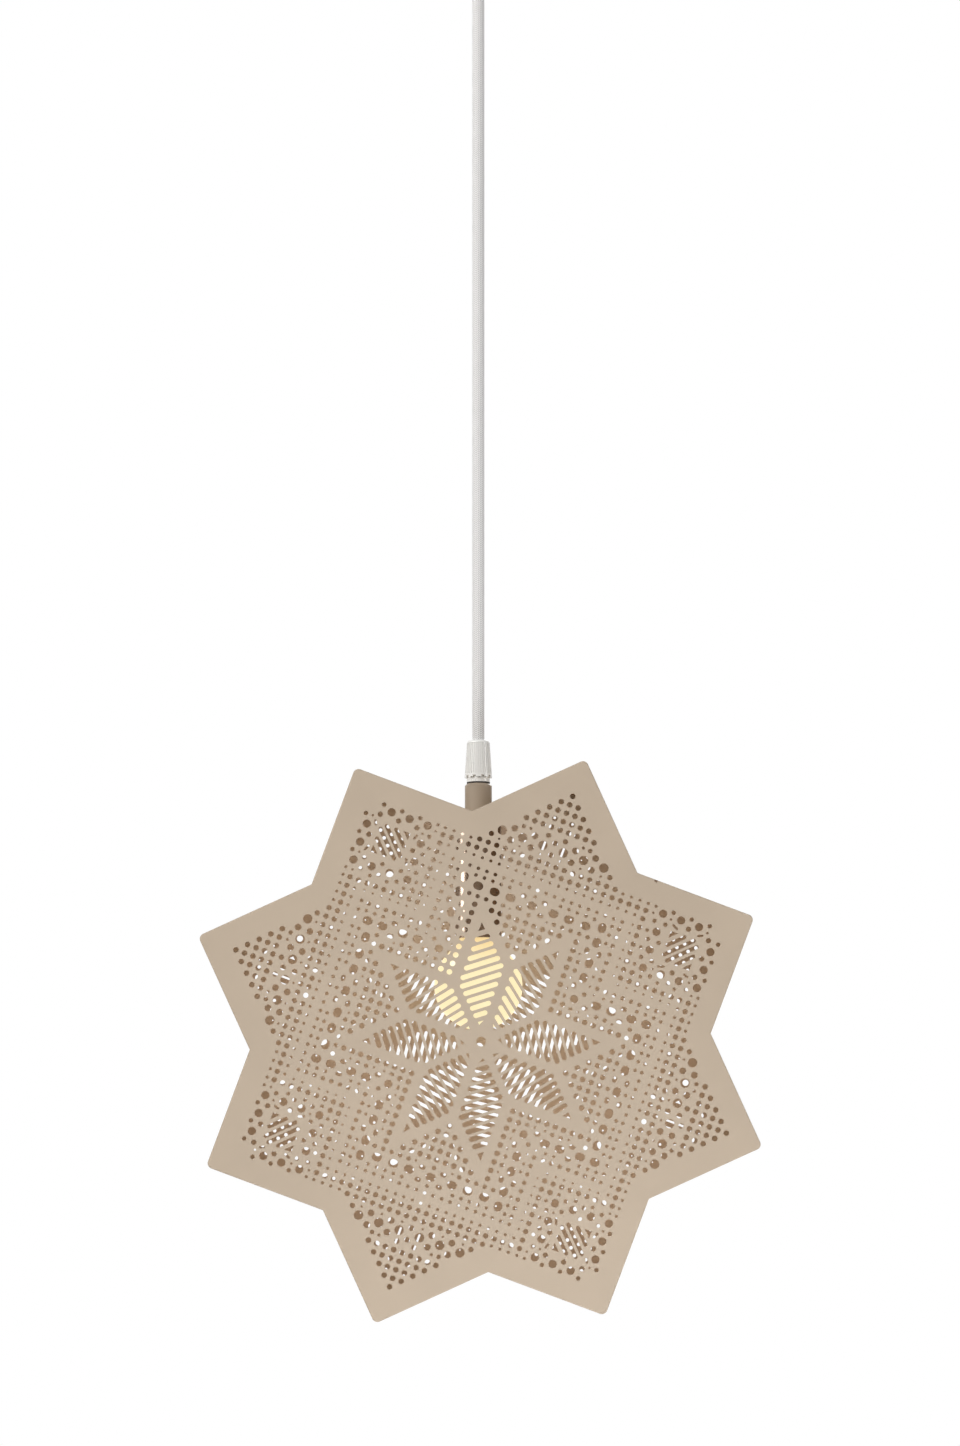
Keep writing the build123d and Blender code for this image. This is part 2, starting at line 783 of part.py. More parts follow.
# The earth terminal stands on the contact block.
earth_terminal_z = block_top_z + earth_terminal_height
with BuildPart() as earth_terminal:
    with BuildSketch(level(block_top_z)):
        with Locations((0, terminal_offset)):
            Rectangle(contact_width, terminal_diameter)
    extrude(amount=contact_thickness)
    with BuildSketch(level(block_top_z)):
        with Locations((0, terminal_offset)):
            Circle(terminal_diameter / 2)
    extrude(amount=earth_terminal_height)
save(earth_terminal.part, "earth_terminal")

with BuildPart() as centre_contact:
    with BuildSketch(Plane.XZ.offset(-contact_width / 2)):
        with BuildLine():
            Polyline(
                (-contact_width, block_foot_z),
                (-contact_width, block_foot_z - contact_drop),
                (contact_width / 2, block_foot_z - contact_drop),
                (contact_width / 2, block_foot_z - contact_drop - contact_thickness),
                (-contact_width - contact_thickness, block_foot_z - contact_drop - contact_thickness),
                (-contact_width - contact_thickness, block_foot_z),
                close=True,
            )
        make_face()
    extrude(amount=contact_width)
save(centre_contact.part, "centre_contact")

# The E14 thread is drawn plain: a smooth shell around a smooth cap.
shell_radius = cap_thread / 2 + shell_play
shell_top_z = cap_top_z
with BuildPart() as thread_shell:
    with BuildSketch(level(shell_top_z)):
        Circle(shell_radius + shell_wall)
        Circle(shell_radius, mode=Mode.SUBTRACT)
    extrude(amount=-shell_length)
    with BuildSketch(level(shell_top_z)):
        Circle(holder_bore)
        Circle(shell_radius, mode=Mode.SUBTRACT)
    extrude(amount=-shell_rim)
    with BuildSketch(level(shell_top_z)):
        with GridLocations(0, holder_bore * 2 - shell_rim * 2, 1, 2):
            Rectangle(contact_width, shell_rim)
    extrude(amount=block_foot_z - shell_top_z)
save(thread_shell.part, "thread_shell")

# ---- Bulb ----

globe_radius = globe_diameter / 2
shoulder_x = globe_radius * cos(radians(neck_turn))
shoulder_z = globe_z + globe_radius * sin(radians(neck_turn))
hollow_radius = globe_radius - glass_wall
hollow_x = hollow_radius * cos(radians(neck_turn))
hollow_z = globe_z + hollow_radius * sin(radians(neck_turn))
neck_z = cap_foot_z - cap_skirt_height
with BuildPart() as bulb_globe:
    with BuildSketch(Plane.XZ):
        with BuildLine():
            belly = ThreePointArc(
                (0, globe_z - globe_radius), (globe_radius, globe_z), (shoulder_x, shoulder_z)
            )
            neck = TangentArc(belly @ 1, (neck_diameter / 2, neck_z), tangent=belly % 1)
            Line(neck @ 1, (neck_diameter / 2 - glass_wall, neck_z))
            inside = ThreePointArc(
                (0, globe_z - hollow_radius), (hollow_radius, globe_z), (hollow_x, hollow_z)
            )
            TangentArc(inside @ 1, (neck_diameter / 2 - glass_wall, neck_z), tangent=inside % 1)
            Line(inside @ 0, belly @ 0)
        make_face()
    revolve(axis=Axis.Z)
save(bulb_globe.part, "bulb_globe")

with BuildPart() as bulb_cap:
    with BuildSketch(level(cap_foot_z)):
        Circle(cap_thread / 2)
        Circle(cap_thread / 2 - cap_wall, mode=Mode.SUBTRACT)
    extrude(amount=cap_height)
    with BuildSketch(level(cap_foot_z)):
        Circle(cap_skirt / 2)
        Circle(cap_thread / 2 - cap_wall, mode=Mode.SUBTRACT)
    extrude(amount=-cap_skirt_height)
save(bulb_cap.part, "bulb_cap")

with BuildPart() as cap_insulator:
    with BuildSketch(level(cap_top_z)):
        Circle(cap_thread / 2)
    extrude(amount=insulator_height / 3)
    with BuildSketch(level(cap_top_z + insulator_height / 3)):
        Circle(insulator_base / 2)
    with BuildSketch(level(insulator_top_z)):
        Circle(insulator_top / 2)
    loft()
save(cap_insulator.part, "cap_insulator")

with BuildPart() as cap_contact:
    with BuildSketch(level(insulator_top_z)):
        Circle(tip_diameter / 2)
    extrude(amount=tip_height)
    fillet(cap_contact.edges().group_by(Axis.Z)[-1], tip_height / 2)
save(cap_contact.part, "cap_contact")

mount_foot_z = neck_z - mount_height
with BuildPart() as filament_mount:
    with BuildSketch(level(neck_z)):
        Circle(neck_diameter / 2 - glass_wall - mount_play)
    extrude(amount=-glass_wall)
    with BuildSketch(level(neck_z)):
        Circle(mount_diameter / 2)
    extrude(amount=-mount_height)
    with BuildSketch(level(mount_foot_z)):
        Circle(filament_spread + filament_diameter / 2)
    extrude(amount=-glass_wall)
save(filament_mount.part, "filament_mount")

filament_top_z = mount_foot_z - glass_wall
with BuildPart() as led_filaments:
    with BuildSketch(level(filament_top_z)):
        with PolarLocations(filament_spread, filament_count, start_angle=45):
            Circle(filament_diameter / 2)
    extrude(amount=-filament_length)
save(led_filaments.part, "led_filaments")

# ---- Cord, straight under the lantern's weight ----

cord_top_z = -cord_end_below_ceiling
cord_foot_z = nipple_foot_z + 1.0
with BuildPart() as cord:
    with BuildSketch(level(cord_foot_z)):
        Circle(cord_diameter / 2)
    extrude(amount=cord_top_z - cord_foot_z)
save(cord.part, "cord")

# Two cores run from the cord's foot to the lampholder's terminals, and the third to its earth.
holder_core_ends = (
    ((-core_pitch / 2, 0), (-terminal_offset, 0, block_top_z + slit)),
    ((core_pitch / 2, 0), (terminal_offset, 0, block_top_z + slit)),
    ((0, core_pitch * 0.9), (0, terminal_offset, earth_terminal_z)),
)
with BuildPart() as holder_cores:
    for (x, y), end in holder_core_ends:
        start = Vector(x, y, cord_foot_z)
        with BuildLine() as core_line:
            Line(start, end)
        with BuildSketch(Plane(origin=start, z_dir=(0, 0, -1))):
            Circle(core_diameter / 2)
        sweep(path=core_line.line)
save(holder_cores.part, "holder_cores")

# ---- Canopy, its grip and the ceiling bracket ----

canopy_radius = canopy_diameter / 2
canopy_inside = canopy_radius - canopy_wall
with BuildPart() as canopy_cup:
    with BuildSketch(level(canopy_floor_z)):
        Circle(canopy_radius)
    extrude(amount=canopy_depth - moving_gap)
    fillet(canopy_cup.edges().group_by(Axis.Z)[0], canopy_edge)
    with BuildSketch(level(canopy_floor_z + canopy_wall)):
        Circle(canopy_inside)
    extrude(amount=canopy_depth, mode=Mode.SUBTRACT)
    with BuildSketch(level(canopy_floor_z)):
        Circle(entry_thread / 2 + thread_clearance)
    extrude(amount=canopy_wall, mode=Mode.SUBTRACT)
    # Slots open at the rim, so that the canopy drops once its side screws are slack.
    with BuildSketch(Plane.YZ.offset(-canopy_radius)):
        with Locations((0, -side_screw_drop)):
            Circle(side_screw / 2 + side_slot_play)
        with Locations((0, -side_screw_drop / 2)):
            Rectangle(side_screw + 2 * side_slot_play, side_screw_drop)
    extrude(amount=canopy_diameter, mode=Mode.SUBTRACT)
save(canopy_cup.part, "canopy_cup")

grip_bore = cord_diameter / 2 + top_grip_bore_gap
with BuildPart() as canopy_grip:
    with BuildSketch(level(canopy_floor_z)):
        Circle(top_grip_flange / 2)
    extrude(amount=-top_grip_flange_height)
    with BuildSketch(level(canopy_floor_z)):
        Circle(top_grip_diameter / 2)
    extrude(amount=-top_grip_drop)
    fillet(canopy_grip.edges().group_by(Axis.Z)[0], cone_edge)
    with BuildSketch(level(canopy_floor_z)):
        Circle(entry_thread / 2)
    extrude(amount=top_grip_thread_length)
    with BuildSketch(level(top_grip_z)):
        Circle(grip_bore)
    extrude(amount=top_grip_drop + top_grip_thread_length, mode=Mode.SUBTRACT)
    with BuildSketch(Plane.YZ.offset(grip_bore)):
        with Locations((0, canopy_floor_z - lock_screw_drop)):
            Circle(lock_screw / 2 + screw_clearance)
    extrude(amount=top_grip_diameter, both=True, mode=Mode.SUBTRACT)
save(canopy_grip.part, "canopy_grip")

with BuildPart() as canopy_grip_nut:
    with BuildSketch(level(canopy_floor_z + canopy_wall)):
        RegularPolygon(nut_flats / 2, 6, major_radius=False)
        Circle(entry_thread / 2 + thread_clearance, mode=Mode.SUBTRACT)
    extrude(amount=nut_height)
save(canopy_grip_nut.part, "canopy_grip_nut")

with BuildPart() as canopy_lock_screws:
    for side in (-1, 1):
        with BuildSketch(Plane.YZ.offset(side * (cord_diameter / 2 + moving_gap))):
            with Locations((0, canopy_floor_z - lock_screw_drop)):
                Circle(lock_screw / 2)
        extrude(amount=side * lock_screw_length)
        with BuildSketch(Plane.YZ.offset(side * (cord_diameter / 2 + moving_gap + lock_screw_length))):
            with Locations((0, canopy_floor_z - lock_screw_drop)):
                Rectangle(lock_screw, slit)
        extrude(amount=-side * slit, mode=Mode.SUBTRACT)
save(canopy_lock_screws.part, "canopy_lock_screws")

ear_x = canopy_inside - bracket_gap
with BuildPart() as ceiling_bracket:
    with BuildSketch(Plane.XY):
        Rectangle(2 * ear_x, bracket_width)
        with GridLocations(ceiling_hole_spacing, 0, 2, 1):
            Circle(ceiling_hole / 2, mode=Mode.SUBTRACT)
        with Locations((supply_hole_shift, 0)):
            Circle(supply_hole / 2, mode=Mode.SUBTRACT)
    extrude(amount=-bracket_thickness)
    for side in (-1, 1):
        with BuildSketch(Plane.YZ.offset(side * ear_x)):
            with Locations((0, -bracket_ear / 2)):
                Rectangle(bracket_width, bracket_ear)
            with Locations((0, -side_screw_drop)):
                Circle(side_screw / 2 + thread_clearance, mode=Mode.SUBTRACT)
        extrude(amount=-side * bracket_thickness)
save(ceiling_bracket.part, "ceiling_bracket")

head_x = canopy_radius + moving_gap
with BuildPart() as canopy_screws:
    for side in (-1, 1):
        with BuildSketch(Plane.YZ.offset(side * head_x)):
            with Locations((0, -side_screw_drop)):
                Circle(side_screw / 2)
        extrude(amount=-side * side_screw_length)
        with BuildSketch(Plane.YZ.offset(side * head_x)):
            with Locations((0, -side_screw_drop)):
                Circle(side_screw_head / 2)
        extrude(amount=side * side_screw_head_height)
        with BuildSketch(Plane.YZ.offset(side * (head_x + side_screw_head_height))):
            with Locations((0, -side_screw_drop)):
                Rectangle(side_screw_head, slit)
        extrude(amount=-side * slit, mode=Mode.SUBTRACT)
save(canopy_screws.part, "canopy_screws")

block_z = -bracket_thickness
with BuildPart() as terminal_block:
    with BuildSketch(level(block_z)):
        with Locations((-terminal_block_shift, 0)):
            Rectangle(terminal_block_width, terminal_block_length)
    extrude(amount=-terminal_block_height)
    fillet(terminal_block.edges().filter_by(Axis.Z), 1.0)
    with BuildSketch(Plane.YZ.offset(-terminal_block_shift)):
        with Locations((0, block_z - terminal_block_height / 2)):
            with GridLocations(terminal_pitch, 0, 3, 1):
                Circle(terminal_bore / 2)
    extrude(amount=terminal_block_width, both=True, mode=Mode.SUBTRACT)
    with BuildSketch(level(block_z - terminal_block_height)):
        with Locations((-terminal_block_shift, 0)):
            with GridLocations(terminal_screw_spacing, terminal_pitch, 2, 3):
                Circle(terminal_screw / 2 + screw_clearance)
    extrude(amount=terminal_block_height / 2, mode=Mode.SUBTRACT)
save(terminal_block.part, "terminal_block")

block_foot_level = block_z - terminal_block_height
with BuildPart() as block_screws:
    with BuildSketch(level(block_foot_level + slit)):
        with Locations((-terminal_block_shift, 0)):
            with GridLocations(terminal_screw_spacing, terminal_pitch, 2, 3):
                Circle(terminal_screw / 2)
    extrude(amount=terminal_block_height / 2 - terminal_bore / 2 - 2 * slit)
    with BuildSketch(level(block_foot_level + slit)):
        with Locations((-terminal_block_shift, 0)):
            with GridLocations(terminal_screw_spacing, terminal_pitch, 2, 3):
                Rectangle(slit, terminal_screw)
    extrude(amount=slit, mode=Mode.SUBTRACT)
save(block_screws.part, "block_screws")

# Three cores leave the cord's end and turn into the terminal block.
core_entry_x = -terminal_block_shift + terminal_block_width / 2
core_level = block_z - terminal_block_height / 2
with BuildPart() as ceiling_cores:
    for number in (-1, 0, 1):
        start = Vector(0, core_pitch * number, cord_top_z)
        end = Vector(core_entry_x - core_hold, terminal_pitch * number, core_level)
        with BuildLine() as core_line:
            Spline(start, end, tangents=((0, 0, 1), (-1, 0, 0)))
        with BuildSketch(Plane(origin=start, z_dir=(0, 0, 1))):
            Circle(core_diameter / 2)
        sweep(path=core_line.line)
save(ceiling_cores.part, "ceiling_cores")

print(f"star: {2 * star_point:.1f} mm across sharp points, {len(back_holes)} holes a plate")
print(f"star centre at z = {star_z:.2f}, globe at z = {globe_z:.2f}, sleeve foot {sleeve_foot_z:.2f}")
print(f"cord: {cord_top_z - cord_foot_z:.1f} mm long, volume {cord.part.volume:.1f}")
print(f"section times length {pi * cord_diameter ** 2 / 4 * (cord_top_z - cord_foot_z):.1f}")
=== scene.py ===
"""Finishes, cord, lights and camera for a flat pierced-metal star lantern on a textile cord.

Everything is in metres in the part's own frame: the origin is on the ceiling on the cord's axis,
+Z is up and the front plate faces -Y.
"""

import logging
import math
from dataclasses import dataclass, field
from enum import Enum

import bmesh
import bpy
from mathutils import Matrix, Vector


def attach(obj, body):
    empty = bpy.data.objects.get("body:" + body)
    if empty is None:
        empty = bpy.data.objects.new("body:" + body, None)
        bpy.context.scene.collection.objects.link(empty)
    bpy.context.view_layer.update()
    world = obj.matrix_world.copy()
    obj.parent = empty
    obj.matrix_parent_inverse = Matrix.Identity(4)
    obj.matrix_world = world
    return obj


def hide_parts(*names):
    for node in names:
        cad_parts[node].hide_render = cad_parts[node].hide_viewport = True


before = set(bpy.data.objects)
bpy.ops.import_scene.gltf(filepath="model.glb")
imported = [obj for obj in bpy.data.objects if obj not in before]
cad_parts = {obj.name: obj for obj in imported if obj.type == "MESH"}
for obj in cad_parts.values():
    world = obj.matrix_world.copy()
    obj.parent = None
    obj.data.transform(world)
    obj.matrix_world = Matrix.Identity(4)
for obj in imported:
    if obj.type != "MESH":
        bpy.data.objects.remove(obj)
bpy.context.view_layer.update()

log = logging.getLogger("lantern")

Colour = tuple[float, float, float]
Point = tuple[float, float, float]

MM = 0.001
STAR_CENTRE: Point = (0.5 * MM, 0.0, -626.55 * MM)

# Nearly all values of a noise texture lie between these two.
NOISE_LOW, NOISE_HIGH = 0.3, 0.7


class Body(Enum):
    """The body that the new cord rides on. The part's own nodes keep theirs."""

    FRAME = "hung_frame"


class Surface(Enum):
    """Which way the grain of a finish runs."""

    EVEN = "even"
    BRUSHED = "brushed"


# ---- Materials ----


class NodeBench:
    """A material's node tree, with short ways to add and join its nodes."""

    def __init__(self, name: str) -> None:
        """Start a material of this name with a bare shader and output."""
        self.material = bpy.data.materials.new(name)
        self.material.use_nodes = True
        self.tree = self.material.node_tree
        self.tree.nodes.clear()
        self.output = self.add("ShaderNodeOutputMaterial")
        self.shader = self.add("ShaderNodeBsdfPrincipled")
        self.join(self.shader.outputs["BSDF"], self.output.inputs["Surface"])

    def add(self, kind: str, **settings: object) -> bpy.types.Node:
        """Add a node.

        Args:
            kind: Blender's name of the node type.
            settings: attributes of the node, set by name.

        Returns:
            The new node.
        """
        node = self.tree.nodes.new(kind)
        for key, value in settings.items():
            setattr(node, key, value)
        return node

    def join(self, source: bpy.types.NodeSocket, target: bpy.types.NodeSocket) -> None:
        """Link an output to an input."""
        self.tree.links.new(source, target)

    def place(self, kind: str = "Object") -> bpy.types.NodeSocket:
        """The piece's own coordinates: Object or UV."""
        return self.add("ShaderNodeTexCoord").outputs[kind]

    def noise(self, where: bpy.types.NodeSocket, scale: float, detail: float = 3.0) -> bpy.types.NodeSocket:
        """A noise value over the surface, at this many cells a metre."""
        node = self.add("ShaderNodeTexNoise")
        node.inputs["Scale"].default_value = scale
        node.inputs["Detail"].default_value = detail
        self.join(where, node.inputs["Vector"])
        return node.outputs["Fac"]

    def span(
        self, value: bpy.types.NodeSocket, low: float, high: float, to_low: float, to_high: float
    ) -> bpy.types.NodeSocket:
        """Map a value from one range to another, clamped at both ends."""
        node = self.add("ShaderNodeMapRange")
        for key, number in (("From Min", low), ("From Max", high), ("To Min", to_low), ("To Max", to_high)):
            node.inputs[key].default_value = number
        self.join(value, node.inputs["Value"])
        return node.outputs["Result"]

    def math(
        self, operation: str, first: bpy.types.NodeSocket, second: bpy.types.NodeSocket | float = 0.0
    ) -> bpy.types.NodeSocket:
        """One step of arithmetic on one or two values."""
        node = self.add("ShaderNodeMath", operation=operation)
        self.join(first, node.inputs[0])
        if isinstance(second, float):
            node.inputs[1].default_value = second
        else:
            self.join(second, node.inputs[1])
        return node.outputs["Value"]

    def blend(
        self,
        factor: bpy.types.NodeSocket,
        first: Colour | bpy.types.NodeSocket,
        second: Colour | bpy.types.NodeSocket,
    ) -> bpy.types.NodeSocket:
        """Mix two colours by a factor."""
        node = self.add("ShaderNodeMix", data_type="RGBA")
        self.join(factor, node.inputs[0])
        for socket, colour in ((node.inputs[6], first), (node.inputs[7], second)):
            if isinstance(colour, tuple):
                socket.default_value = (*colour, 1.0)
            else:
                self.join(colour, socket)
        return node.outputs[2]

    def bump(self, height: bpy.types.NodeSocket, depth: float, strength: float = 1.0) -> None:
        """Roughen the surface by a height of this depth in metres."""
        node = self.add("ShaderNodeBump")
        node.inputs["Distance"].default_value = depth
        node.inputs["Strength"].default_value = strength
        self.join(height, node.inputs["Height"])
        self.join(node.outputs["Normal"], self.shader.inputs["Normal"])

    def set(self, **values: float | Colour) -> None:
        """Set plain values on the shader, with underscores for the spaces in a socket's name."""
        for key, value in values.items():
            socket = self.shader.inputs[key.replace("_", " ")]
            socket.default_value = (*value, 1.0) if isinstance(value, tuple) else value


def shade(colour: Colour, factor: float) -> Colour:
    """A colour made lighter or darker by a factor."""
    return (colour[0] * factor, colour[1] * factor, colour[2] * factor)


@dataclass(frozen=True)
class Finish:
    """A painted, moulded or bare metal finish."""

    name: str
    colour: Colour
    roughness: float
    metallic: float = 0.0
    surface: Surface = Surface.EVEN
    grain: float = 900.0
    grain_depth: float = 0.03 * MM
    unevenness: float = 0.04
    coat: float = 0.0
    cloud_cells: float = 28.0
    wear_cells: float = 140.0
    wear: float = 0.05
    brush_stretch: Point = (1.0, 1.0, 0.06)

    def bench(self) -> NodeBench:
        """Build the finish's nodes.

        Returns:
            The bench that holds the material.
        """
        bench = NodeBench(self.name)
        bench.set(Metallic=self.metallic, Coat_Weight=self.coat)
        place = bench.place()
        if self.surface is Surface.BRUSHED:
            mapping = bench.add("ShaderNodeMapping")
            mapping.inputs["Scale"].default_value = self.brush_stretch
            bench.join(place, mapping.inputs["Vector"])
            place = mapping.outputs["Vector"]
        cloud = bench.noise(place, self.cloud_cells, 4.0)
        tint = bench.blend(
            bench.span(cloud, NOISE_LOW, NOISE_HIGH, 0.0, 1.0),
            shade(self.colour, 1.0 - self.unevenness),
            shade(self.colour, 1.0 + self.unevenness),
        )
        bench.join(tint, bench.shader.inputs["Base Color"])
        worn = bench.noise(place, self.wear_cells, 2.0)
        smoothest, roughest = self.roughness - self.wear, self.roughness + self.wear
        rough = bench.span(worn, NOISE_LOW, NOISE_HIGH, smoothest, roughest)
        bench.join(rough, bench.shader.inputs["Roughness"])
        bench.bump(bench.noise(place, self.grain, 2.0), self.grain_depth)
        return bench

    def material(self) -> bpy.types.Material:
        """The finished material."""
        return self.bench().material


@dataclass(frozen=True)
class ChippedPaint(Finish):
    """Matt paint with a few small chips that show brown metal at the plate's edge."""

    chips: tuple[tuple[float, float, float], ...] = ()
    bare: Colour = (0.16, 0.09, 0.05)
    ragged_cells: float = 1800.0
    raggedness: float = 0.5 * MM
    bare_share: float = 0.6

    def material(self) -> bpy.types.Material:
        """The paint with its chips, each a ragged spot at its place across the plate."""
        bench = self.bench()
        split = bench.add("ShaderNodeSeparateXYZ")
        bench.join(bench.place(), split.inputs["Vector"])
        fine = bench.noise(bench.place(), self.ragged_cells)
        ragged = bench.span(fine, 0.2, 0.8, -self.raggedness, self.raggedness)
        socket = bench.shader.inputs["Base Color"]
        colour = socket.links[0].from_socket
        for x, z, radius in self.chips:
            across = bench.math("POWER", bench.math("SUBTRACT", split.outputs["X"], x), 2.0)
            upward = bench.math("POWER", bench.math("SUBTRACT", split.outputs["Z"], z), 2.0)
            reach = bench.math("SQRT", bench.math("ADD", across, upward))
            edge = bench.math("ADD", reach, ragged)
            inside = bench.span(edge, radius, radius * self.bare_share, 0.0, 1.0)
            colour = bench.blend(inside, colour, self.bare)
        bench.join(colour, socket)
        return bench.material


@dataclass(frozen=True)
class LitOpal:
    """The bulb's opal glass, lit from within and warmer towards its cap."""

    name: str = "lit_opal"
    belly: Colour = (0.96, 0.84, 0.50)
    neck: Colour = (0.92, 0.68, 0.33)
    belly_z: float = -583.0 * MM
    neck_z: float = -570.0 * MM
    glow: float = 1.0
    unlit: Colour = (0.06, 0.06, 0.06)
    roughness: float = 0.3

    def material(self) -> bpy.types.Material:
        """The glass with a glow that changes with height."""
        bench = NodeBench(self.name)
        bench.set(Base_Color=self.unlit, Roughness=self.roughness, Emission_Strength=self.glow)
        split = bench.add("ShaderNodeSeparateXYZ")
        bench.join(bench.place(), split.inputs["Vector"])
        height = bench.span(split.outputs["Z"], self.belly_z, self.neck_z, 0.0, 1.0)
        bench.join(bench.blend(height, self.belly, self.neck), bench.shader.inputs["Emission Color"])
        return bench.material


@dataclass(frozen=True)
class BraidedYarn:
    """White braided textile: the strands lean left and right in turn round the cord, with painted shade in
    the grooves between them.
    """

    name: str = "braided_yarn"
    light: Colour = (0.96, 0.95, 0.94)
    # Painted shade for the grooves between strands; the yarn itself is white all through.
    groove_shade: Colour = (0.46, 0.44, 0.43)
    columns: int = 16
    stitch: float = 1.15 * MM
    lean: float = 0.9
    strand_edge: float = 0.28
    column_edge: float = 0.16
    column_dip: float = 0.35
    depth: float = 0.12 * MM
    strength: float = 0.8
    roughness: float = 0.85
    sheen: float = 0.25

    def material(self) -> bpy.types.Material:
        """The braid, which follows the cord's UV map: u round the cord, v along it in metres."""
        bench = NodeBench(self.name)
        bench.set(Roughness=self.roughness, Sheen_Weight=self.sheen)
        split = bench.add("ShaderNodeSeparateXYZ")
        bench.join(bench.place("UV"), split.inputs["Vector"])
        turn = bench.math("MULTIPLY", split.outputs["X"], float(self.columns))
        half = bench.math("PINGPONG", turn, 1.0)
        along = bench.math("DIVIDE", split.outputs["Y"], self.stitch)
        leaning = bench.math("ADD", along, bench.math("MULTIPLY", half, self.lean))
        strand = bench.span(bench.math("PINGPONG", leaning, 0.5), 0.0, self.strand_edge, 0.0, 1.0)
        column = bench.span(bench.math("PINGPONG", turn, 0.5), 0.0, self.column_edge, self.column_dip, 1.0)
        height = bench.math("MULTIPLY", strand, column)
        # Mixing towards the darker colour where the braid is low is painted shade in its grooves, on top of
        # the bump.
        bench.join(bench.blend(height, self.groove_shade, self.light), bench.shader.inputs["Base Color"])
        bench.bump(height, self.depth, self.strength)
        return bench.material


def dress(node: str, material: bpy.types.Material) -> None:
    """Give a node of the part its material.

    Args:
        node: the node's name.
        material: what its one slot gets.
    """
    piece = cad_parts[node]
    for slot in piece.material_slots:
        slot.material = material
    log.info("dressed %s with %s", node, material.name)


@dataclass(frozen=True)
class Palette:
    """The lantern's finishes, each made once."""

    plate: ChippedPaint = ChippedPaint(
        name="plate_paint",
        colour=(0.505, 0.408, 0.308),
        roughness=0.55,
        grain=700.0,
        unevenness=0.03,
        chips=(
            (74.0 * MM, -511.0 * MM, 1.1 * MM),
            (75.5 * MM, -514.0 * MM, 0.9 * MM),
            (80.0 * MM, -525.5 * MM, 1.2 * MM),
            (93.5 * MM, -541.5 * MM, 1.2 * MM),
        ),
    )
    band: Finish = Finish("band_paint", (0.48, 0.39, 0.29), 0.55, grain=700.0)
    # The stem has the plates' paint; its colour is set darker than theirs as painted shade, for the shade
    # it stands in above the star.
    stem: Finish = Finish("stem_paint", (0.40, 0.32, 0.24), 0.42, unevenness=0.05)
    sleeve: Finish = Finish("sleeve_paint", (0.30, 0.235, 0.18), 0.26, metallic=0.85, unevenness=0.03)
    white_metal: Finish = Finish("canopy_paint", (0.82, 0.81, 0.79), 0.4)
    white_plastic: Finish = Finish("grip_plastic", (0.93, 0.925, 0.90), 0.3, unevenness=0.01, coat=0.8)
    holder: Finish = Finish("holder_plastic", (0.70, 0.68, 0.63), 0.4)
    zinc: Finish = Finish("zinc_plate", (0.62, 0.62, 0.60), 0.32, metallic=1.0, surface=Surface.BRUSHED)
    brass: Finish = Finish("brass", (0.78, 0.58, 0.27), 0.28, metallic=1.0, surface=Surface.BRUSHED)
    rubber: Finish = Finish("dark_rubber", (0.035, 0.028, 0.024), 0.7)
    cap: Finish = Finish("cap_aluminium", (0.74, 0.73, 0.70), 0.25, metallic=1.0, surface=Surface.BRUSHED)
    black_glass: Finish = Finish("cap_insulation", (0.02, 0.02, 0.02), 0.15)
    solder: Finish = Finish("solder", (0.60, 0.60, 0.61), 0.45, metallic=1.0)
    frit: Finish = Finish("mount_glass", (0.85, 0.85, 0.80), 0.2)
    phosphor: Finish = Finish("filament_phosphor", (0.95, 0.72, 0.22), 0.6)
    sleeving: Finish = Finish("core_sleeving", (0.42, 0.27, 0.14), 0.35)


# ---- Sub-assemblies ----


@dataclass
class StarShell:
    """The two pierced plates, the band between them and the back cover's fixings."""

    paint: ChippedPaint
    band_paint: Finish
    screws: Finish
    plates: tuple[str, ...] = ("front_plate", "back_plate")
    band_pieces: tuple[str, ...] = ("side_band", "corner_gussets")

    def build(self) -> None:
        """Dress plates, band and screws."""
        paint = self.paint.material()
        for node in self.plates:
            dress(node, paint)
        band = self.band_paint.material()
        for node in self.band_pieces:
            dress(node, band)
        dress("cover_screws", self.screws.material())


